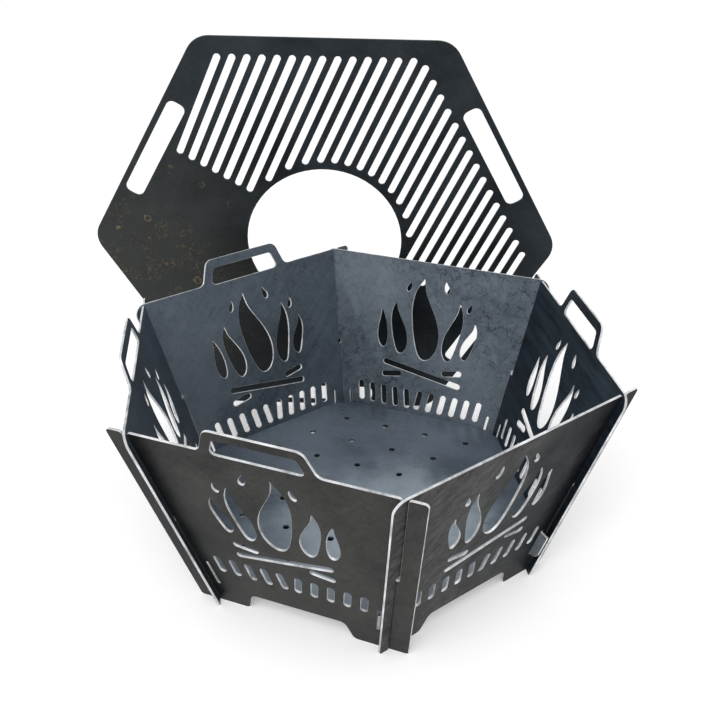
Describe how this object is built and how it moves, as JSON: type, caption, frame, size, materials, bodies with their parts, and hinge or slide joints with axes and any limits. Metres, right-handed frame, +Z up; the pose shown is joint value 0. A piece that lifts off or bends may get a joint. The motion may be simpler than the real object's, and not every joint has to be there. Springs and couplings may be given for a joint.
{
  "type": "fire pit",
  "caption": "Flat-pack steel fire pit: outward-leaning side panels crossed at the corners, a drop-in floor with drain holes, and a hexagonal grill plate leaning behind it.",
  "frame": {"origin": "on the ground, at the middle of the box round the whole set", "axes": "+Z up, +Y from the pit towards the cooking plate that stands behind it, +X towards the right-hand panel"},
  "size_m": [0.673, 0.6898, 0.6058],
  "materials": {
    "side_steel": "bare hot-rolled sheet, dark mill scale, bright cut edges",
    "floor_steel": "bare hot-rolled sheet, blue-grey, cloudy",
    "plate_steel": "near-black hot-rolled sheet with a few rust flecks",
    "clip_steel": "bare grey sheet, bright cut edges"
  },
  "bodies": {
    "pit": {"panel_front_left": "side_steel", "panel_front_right": "side_steel", "panel_right": "side_steel", "panel_back_right": "side_steel", "panel_back_left": "side_steel", "panel_left": "side_steel", "corner_clip": "clip_steel"},
    "base_plate": {"base_plate": "floor_steel"},
    "cooking_plate": {"cooking_plate": "plate_steel"}
  },
  "joints": [
    {"name": "floor_lift", "type": "slide", "parent": "pit", "child": "base_plate", "axis": [0, 0, 1], "range_m": [0, 0.28]},
    {"name": "plate_take_off", "type": "slide", "parent": "pit", "child": "cooking_plate", "axis": [0.1106, 0.6984, 0.7071], "range_m": [0, 0.15]}
  ]
}
